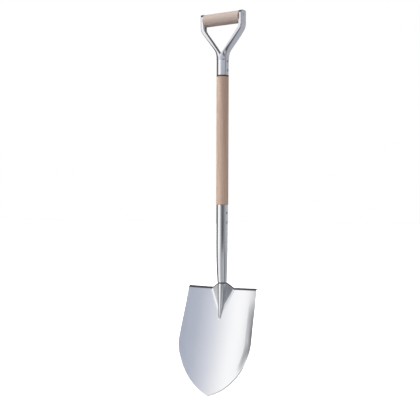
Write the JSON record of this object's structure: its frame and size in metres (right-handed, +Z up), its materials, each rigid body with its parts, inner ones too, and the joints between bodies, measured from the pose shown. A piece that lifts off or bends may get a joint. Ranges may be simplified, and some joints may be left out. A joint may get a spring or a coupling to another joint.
{
  "type": "garden spade",
  "caption": "Round-point garden spade with a dished stainless blade, bent-back treads, riveted neck tube, wooden shaft and a pressed Y yoke with a wooden hand grip.",
  "frame": {"origin": "on the shaft axis, level with the outer corners of the treads, where the spade hangs on a pair of prongs either side of its neck", "axes": "+Z up along the shaft towards the hand grip, -Y towards the hollow front of the blade, X along the treads and the hand grip"},
  "size_m": [0.2114, 0.0876, 0.97],
  "materials": {
    "stainless_steel": "polished",
    "rivet_steel": "satin",
    "ash_wood": "satin"
  },
  "bodies": {
    "root": {"blade": "stainless_steel", "neck_tube": "stainless_steel", "shaft": "ash_wood", "neck_rivets": "rivet_steel", "yoke": "stainless_steel", "yoke_rivets": "rivet_steel", "grip": "ash_wood", "grip_rivet": "rivet_steel"}
  },
  "joints": []
}
